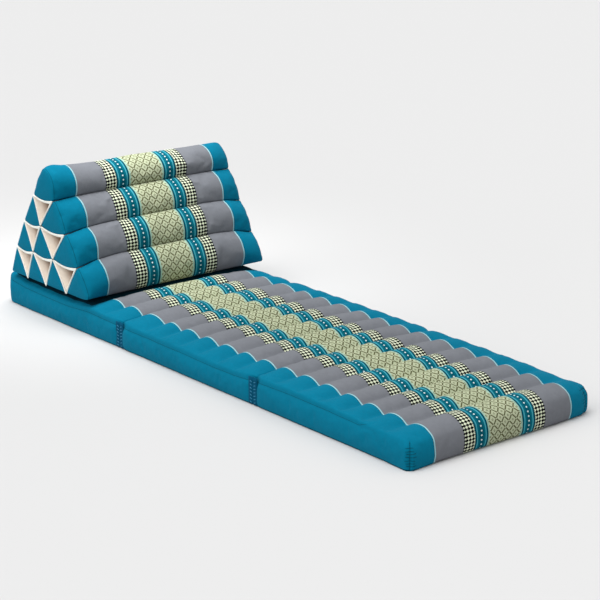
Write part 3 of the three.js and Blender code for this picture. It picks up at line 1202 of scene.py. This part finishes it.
def next_ring(maker, ring):
    """Extrudes a ring of points and gives the new ring in the same order."""
    edges = [maker.edges.get((a, b)) for a, b in zip(ring, ring[1:] + ring[:1])]
    made = bmesh.ops.extrude_edge_only(maker, edges=edges)
    fresh = {v for v in made["geom"] if isinstance(v, bmesh.types.BMVert)}
    others = [[edge.other_vert(v) for edge in v.link_edges] for v in ring]
    return [next(v for v in linked if v in fresh) for linked in others]


def loft(rings):
    """A tube through rings of points, its two end rings, and each point's ring and place."""
    maker = bmesh.new()
    circle = bmesh.ops.create_circle(maker, cap_ends=False, segments=len(rings[0]), radius=0.01)
    ring = first = list(circle["verts"])
    where = {}
    for index, points in enumerate(rings):
        if index:
            ring = next_ring(maker, ring)
        for j, (vert, point) in enumerate(zip(ring, points)):
            vert.co = point
            where[vert] = (index, j)
    return maker, (first, ring), where


def roll_rings(row, place):
    """Every ring of a roll from the near end to the far end, as lists of points."""
    middle = [(-HALF_WIDTH + d * MM) for d in ROLL_DEPTHS]
    rings = []
    for y in middle + [0] + [-y for y in reversed(middle)]:
        rings.append(([Vector((p.x, y, p.y)) for p in roll_outline(row, place, y)], "roll"))
    for side, ring in ((-1, rings[0][0]), (1, rings[-1][0])):
        heart = sum(ring, Vector()) / len(ring)
        pillow = []
        for share in END_SHARES:
            rise = side * END_RISE * (1 - math.exp(-(1 - share) / END_SOFTNESS))
            pillow.append(([heart.lerp(p, share) + Vector((0, rise, 0)) for p in ring], "end"))
        rings = pillow[::-1] + rings if side < 0 else rings + pillow
    return rings


def free_steps(row, place):
    """Whether each point of the outline may move: outer sides may, seams and pockets not."""
    outer = [False] + [True] * (OUTER_STEPS - 1)
    shared = [False] * SHARED_STEPS
    if row == 1:
        return [False] + [True] * (2 * OUTER_STEPS - 1) + shared
    first = outer if place == 0 else shared
    second = outer if place == row - 1 else shared
    return first + second + shared


def lofted_roll(row, place):
    """A roll's mesh, and the points that its seams and its ends hold."""
    rings = roll_rings(row, place)
    maker, ends, where = loft([points for points, kind in rings])
    for end in ends:
        made = bmesh.ops.contextual_create(maker, geom=end)
        bmesh.ops.poke(maker, faces=made["faces"])
    wrap_cloth(maker, rings, where, row)
    bmesh.ops.recalc_face_normals(maker, faces=maker.faces)
    maker.verts.index_update()
    free = free_steps(row, place)
    sewn = [v.index for v, (i, j) in where.items() if not free[j] or rings[i][1] == "end"]
    sewn += [v.index for v in maker.verts if v not in where]
    for vert in maker.verts:
        vert.co.x -= HALF_LENGTH
    return maker, sewn


def wrap_cloth(maker, rings, where, row):
    """Metres of cloth round the roll and along it, and a flat map on the end pillows."""
    cloth = maker.loops.layers.uv.new("cloth")
    middle = rings[len(rings) // 2][0]
    count = len(middle)
    run = [0]
    for a, b in zip(middle, middle[1:] + middle[:1]):
        run.append(run[-1] + (b - a).length)
    for face in maker.faces:
        spots = [where.get(loop.vert) for loop in face.loops]
        if any(spot is None or rings[spot[0]][1] == "end" for spot in spots):
            for loop in face.loops:
                loop[cloth].uv = (loop.vert.co.x, PLAIN_CLOTH + loop.vert.co.z)
            continue
        wraps = {j for i, j in spots} == {0, count - 1}
        for loop, (i, j) in zip(face.loops, spots):
            turn = count if wraps and j == 0 else j
            along = (run[turn] + ROW_SHIFT * row) / HEADREST_STRETCH
            across = loop.vert.co.y / HEADREST_STRETCH
            # Near the ends the map is shifted out, so that only the rolls reach the painted crease
            # shade ring
            border = limited((abs(across) - BORDER_OUT) / BORDER_FADE)
            loop[cloth].uv = (along, across + math.copysign(END_SHIFT * border, across))


ROLL_STUFFING = {"growth": 0.015, "pressure": 8, "cap": 3.5 * MM}
ROLL_PLACES = [
    # the rolls of each row, from the rear to the front
    ["roll_top"],
    ["roll_2_rear", "roll_2_front"],
    ["roll_3_rear", "roll_3_middle", "roll_3_front"],
    ["roll_4_rear", "roll_4_mid_rear", "roll_4_mid_front", "roll_4_front"],
]
for row, names in enumerate(ROLL_PLACES, 1):
    for place, name in enumerate(names):
        maker, sewn = lofted_roll(row, place)
        stuffed_piece("stuffed_" + name, name, maker, sewn, ROLL_STUFFING)

# %% [markdown]
# ## The pocket linings
# Between three rolls an upside-down triangle stays open. Its walls are cream cotton, folded
# into a pocket and turned over at the mouth as a narrow white hem. A loft makes the walls and
# Solidify gives them the cloth's thickness.

# %% Pocket walls
LINING_THICKNESS = 1.4 * MM
LINING_INSET = 0.7 * MM
LINING_DEPTHS = [3, 6, 12, 20, 29, 38, 46, 51]
SMALLEST_RING = 0.04
SIDE_STEPS = 10


def mouth_ring(row, place, share_closed, settle, inset):
    """A pocket's outline with sagging upper side, shrunk by its closing and by an inset."""
    corners = pocket_corners(row, place, settle)
    middle = pocket_heart(corners, share_closed)
    height = corners[0].y - corners[2].y
    scale = max(SMALLEST_RING, 1 - share_closed - 3 * inset / height)
    swells = [MOUTH_SAG, MOUTH_SWELL, MOUTH_SWELL]
    points = []
    for k in range(3):
        a, b = corners[k], corners[(k + 1) % 3]
        inward = (middle - (a + b) / 2).normalized()
        for s in range(SIDE_STEPS):
            share = s / SIDE_STEPS
            bow = inward * swells[k] * math.sin(math.pi * share) * (1 - share_closed)
            points.append(middle.lerp(a.lerp(b, share) + bow, scale))
    return points


def map_cloth(maker, measures):
    """Gives each corner of each face its place on the cloth, from the place of its point."""
    cloth = maker.loops.layers.uv.new("cloth")
    for face in maker.faces:
        for loop in face.loops:
            loop[cloth].uv = measures(loop.vert.co)


def slanted(place):
    """The cloth map of a small piece, laid slanting so that no side of it is smeared."""
    return place.x + place.z * 0.5, place.y + place.z


def pocket_walls(row, place, side):
    rings = []
    for depth in LINING_DEPTHS:
        settle, closed = station(depth * MM)[:2]
        y = side * (HALF_WIDTH - depth * MM)
        ring = mouth_ring(row, place, closed, settle, LINING_INSET)
        rings.append([Vector((p.x - HALF_LENGTH, y, p.y)) for p in ring])
    maker, ends, _ = loft(rings)
    bmesh.ops.contextual_create(maker, geom=ends[1])
    bmesh.ops.recalc_face_normals(maker, faces=maker.faces)
    map_cloth(maker, lambda p: (slanted(p)[0], HALF_WIDTH - abs(p.y)))
    return maker


print("pocket wall depths", LINING_DEPTHS)

# %% [markdown]
# ### The hem
# The turned edge is a soft flat roll of cloth round the mouth, thicker along the upper side
# where the fold hangs down. It is a small oval carried round the triangle.

# %% Hems
SIDE_HEM = 3.6 * MM
TOP_HEM = 4.2 * MM
TOP_HEM_GROWS = 5 * MM
HEM_DEPTH = 3.6 * MM
HEM_SET_BACK = 2.6 * MM
HEM_OVERLAP = 0.8 * MM
HEM_MITRE = 1.5
MOUTH_DEPTH = 3 * MM
MOUTH_OUTSET = 0.5 * MM
TIP_DROP = 3.5 * MM
HEM_STEPS = 8


def hem_width(index):
    """Width of the hem at a point of the mouth: the top is first, then the front and the rear."""
    share = (index % SIDE_STEPS) / SIDE_STEPS
    if index < SIDE_STEPS:
        return TOP_HEM + TOP_HEM_GROWS * share ** 2
    if index < 2 * SIDE_STEPS:
        return SIDE_HEM + (TOP_HEM + TOP_HEM_GROWS - SIDE_HEM) * (1 - share) ** 6
    return SIDE_HEM + (TOP_HEM - SIDE_HEM) * share ** 6


def hem_path(row, place, settle):
    """The line of the hem round the mouth. The tips of the lowest pockets hang lower."""
    path = mouth_ring(row, place, 0, settle, -MOUTH_OUTSET)
    if row == LAST_ROW:
        for index in range(SIDE_STEPS + 1, 3 * SIDE_STEPS):
            near_tip = (1 - abs(index / SIDE_STEPS - 2)) ** 3
            path[index] = path[index] - Vector((0, TIP_DROP * near_tip))
    return path


def hem_loop(row, place, side):
    settle = station(MOUTH_DEPTH)[0]
    path = hem_path(row, place, settle)
    middle = heart_of(pocket_corners(row, place, settle))
    rings = []
    for index, point in enumerate(path):
        way = (path[(index + 1) % len(path)] - path[index - 1]).normalized()
        inward = Vector((-way.y, way.x))
        if inward.dot(middle - point) < 0:
            inward = -inward
        if index % SIDE_STEPS == 0:
            inward = (middle - point).normalized() * HEM_MITRE
        ring = []
        for k in range(HEM_STEPS):
            turn = 2 * math.pi * k / HEM_STEPS
            p = point + inward * (hem_width(index) / 2 * (1 + math.cos(turn)) - HEM_OVERLAP)
            y = side * (HALF_WIDTH - HEM_SET_BACK + math.sin(turn) * HEM_DEPTH / 2)
            ring.append(Vector((p.x - HALF_LENGTH, y, p.y)))
        rings.append(ring)
    maker = loft(rings)[0]
    bmesh.ops.bridge_loops(maker, edges=[e for e in maker.edges if e.is_boundary])
    bmesh.ops.recalc_face_normals(maker, faces=maker.faces)
    map_cloth(maker, slanted)
    return maker


SIDES = ((-1, "near"), (1, "far"))
for side, word in SIDES:
    for row in range(2, LAST_ROW + 1):
        for place in range(1, row):
            node = f"pocket_{row}_{place}_{word}"
            maker = pocket_walls(row, place, side)
            walls = finished_object("lining_" + node, maker, [CREAM_COTTON])
            cloth = walls.modifiers.new("cloth", "SOLIDIFY")
            cloth.thickness = LINING_THICKNESS
            cloth.offset = -1
            hem = finished_object("hem_" + node, hem_loop(row, place, side), [HEM_COTTON])
            smooth_piece(hem)
            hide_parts(node)
            for part in (walls, hem):
                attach(part, "root")
            area = sum(face.area for face in walls.data.polygons)
            print(node, "has", round(area * 1e4, 1), "square centimetres of cloth")

# %% [markdown]
# ## The fold bands
# Where the mat folds, its side walls are drawn together by hand with thread, which makes a
# stitched ladder on a darker strip. A thin strip and two columns of slanting stitches show that.

# %% Fold bands
BAND_WIDTH = 28 * MM
BAND_THICKNESS = 1.6 * MM
BAND_BOTTOM = 2 * MM
BAND_TOP = {-1: 61 * MM, 1: 54 * MM}
BAND_FACE = 253.4 * MM
BAND_RIPPLE = 0.27 * MM
GROOVE_DEPTH = 1.6 * MM
GROOVE_WIDTH = 2.5 * MM
STITCH_LENGTH = 9 * MM
STITCH_PITCH = 7.5 * MM
STITCH_OUT = 6 * MM
STITCH_TILT = 0.3
THREAD_RADIUS = 1.0 * MM


def fold_places():
    places = []
    x = 0
    for rolls, *_ in list(SECTIONS.values())[:-1]:
        x += sum(rolls) * MM + FOLD_GAP
        places.append(x - FOLD_GAP / 2 - HALF_LENGTH)
    return places


def band_strip(maker, height):
    """A thin strip with a groove down its middle and a ripple at each stitch."""
    bmesh.ops.create_cube(maker, size=1)
    bmesh.ops.scale(maker, verts=maker.verts, vec=(BAND_WIDTH, BAND_THICKNESS, height))
    for axis, cuts in ((2, 11), (0, 7)):
        edges = [e for e in maker.edges if abs(e.verts[0].co[axis] - e.verts[1].co[axis]) > MM]
        bmesh.ops.subdivide_edges(maker, edges=edges, cuts=cuts, use_grid_fill=True)
    for vert in maker.verts:
        vert.co.y -= BAND_RIPPLE * math.sin(vert.co.z / STITCH_PITCH * 2 * math.pi)
        vert.co.y += GROOVE_DEPTH * math.exp(-((vert.co.x / GROOVE_WIDTH) ** 2))


def add_stitch(maker, column, row):
    """One slanting stitch, as a long thin ball in the second material."""
    stitch = bmesh.ops.create_icosphere(maker, subdivisions=1, radius=THREAD_RADIUS)["verts"]
    for face in {f for v in stitch for f in v.link_faces}:
        face.material_index = 1
    bmesh.ops.scale(maker, verts=stitch, vec=(STITCH_LENGTH / THREAD_RADIUS / 2, 1, 1))
    tilt = STITCH_TILT * column + 0.2 * math.sin(3.1 * row)
    bmesh.ops.rotate(maker, verts=stitch, matrix=Matrix.Rotation(-tilt, 3, "Y"))
    z = BAND_BOTTOM + (row + 0.6) * STITCH_PITCH
    bmesh.ops.translate(maker, verts=stitch, vec=(column * STITCH_OUT, -THREAD_RADIUS, z))


def stitched_band(x, side):
    height = BAND_TOP[side] - BAND_BOTTOM
    maker = bmesh.new()
    band_strip(maker, height)
    bmesh.ops.translate(maker, verts=maker.verts, vec=(0, 0, BAND_BOTTOM + height / 2))
    for row in range(int(height / STITCH_PITCH)):
        for column in (-1, 1):
            add_stitch(maker, column, row)
    map_cloth(maker, lambda p: (p.x, p.z))
    for vert in maker.verts:
        vert.co = Vector((x + vert.co.x, side * (BAND_FACE - vert.co.y), vert.co.z))
    bmesh.ops.recalc_face_normals(maker, faces=maker.faces)
    return maker


for fold, x in enumerate(fold_places(), 1):
    for side, word in SIDES:
        node = f"fold_band_{fold}_{word}"
        maker = stitched_band(x, side)
        band = finished_object("stitched_" + node, maker, [BAND_CLOTH, LADDER_THREAD])
        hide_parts(node)
        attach(band, "root")
        print(band.name, "at", round(x, 4))

# %% [markdown]
# ## The whipped corners
# The two foot corners are closed by hand from outside: a thread runs up the corner and short
# stitches pull the cloth to it from both sides. The thread has to lie on the stuffed cloth, so
# we shoot a ray from outside at each place and put a point where it meets the cloth.

# %% Whipped corners
CORNER_STITCHES = 9
CORNER_BOTTOM = 3 * MM
CORNER_PITCH = 6.2 * MM
CORNER_THREAD = 0.5 * MM
THREAD_SIDES = 6
STITCH_STEPS = 4
OUTSIDE = 0.2
ABOVE_CLOTH = 0.2 * MM


def on_the_corner(tree, side, turn, z):
    """The place on the cloth of a foot corner at an angle in plan and a height."""
    radius = CORNER_RADIUS[side]
    heart = Vector((HALF_LENGTH - radius, side * (WALL_OUT - radius), z))
    outward = Vector((math.cos(turn), side * math.sin(turn), 0))
    hit = tree.ray_cast(heart + outward * OUTSIDE, -outward)[0]
    return hit + outward * ABOVE_CLOTH


def thread(points):
    """A thread through the points, as a closed tube."""
    rings = []
    for index, point in enumerate(points):
        way = (points[min(index + 1, len(points) - 1)] - points[max(index - 1, 0)]).normalized()
        across = way.orthogonal().normalized()
        along = way.cross(across)
        turns = [2 * math.pi * k / THREAD_SIDES for k in range(THREAD_SIDES)]
        ring = [across * math.cos(turn) + along * math.sin(turn) for turn in turns]
        rings.append([point + p * CORNER_THREAD for p in ring])
    maker, ends, _ = loft(rings)
    for end in ends:
        bmesh.ops.contextual_create(maker, geom=end)
    return maker


def corner_lines(tree, side):
    """The points of the thread up the corner, and of each stitch to its left and right."""
    seam_turn = math.radians(PUCKER_ANGLE[side])
    heights = [CORNER_BOTTOM + CORNER_PITCH * k / 2 for k in range(2 * CORNER_STITCHES)]
    lines = [[on_the_corner(tree, side, seam_turn, z) for z in heights]]
    for k, z in enumerate(heights[::2]):
        rise = 1.5 * MM * math.sin(1.7 * k)
        for way, most in ((-1, 1.05), (1, 0.8)):
            length = way * most * (0.65 + 0.35 * math.sin(2.3 * k + way) ** 2)
            shares = [s / STITCH_STEPS for s in range(STITCH_STEPS + 1)]
            lines.append([
                on_the_corner(tree, side, seam_turn + length * s, z + rise * s) for s in shares
            ])
    return lines


def whipped_corner(tree, side):
    whole = bmesh.new()
    for line in corner_lines(tree, side):
        mesh = bpy.data.meshes.new("thread")
        maker = thread(line)
        maker.to_mesh(mesh)
        maker.free()
        whole.from_mesh(mesh)
        bpy.data.meshes.remove(mesh)
    bmesh.ops.recalc_face_normals(whole, faces=whole.faces)
    map_cloth(whole, slanted)
    return whole


foot_cloth = BVHTree.FromObject(foot_piece, bpy.context.evaluated_depsgraph_get())
for side, word in SIDES:
    maker = whipped_corner(foot_cloth, side)
    corner = finished_object("whipped_corner_" + word, maker, [DARK_THREAD])
    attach(corner, "root")
    print(corner.name, len(corner.data.vertices), "points")
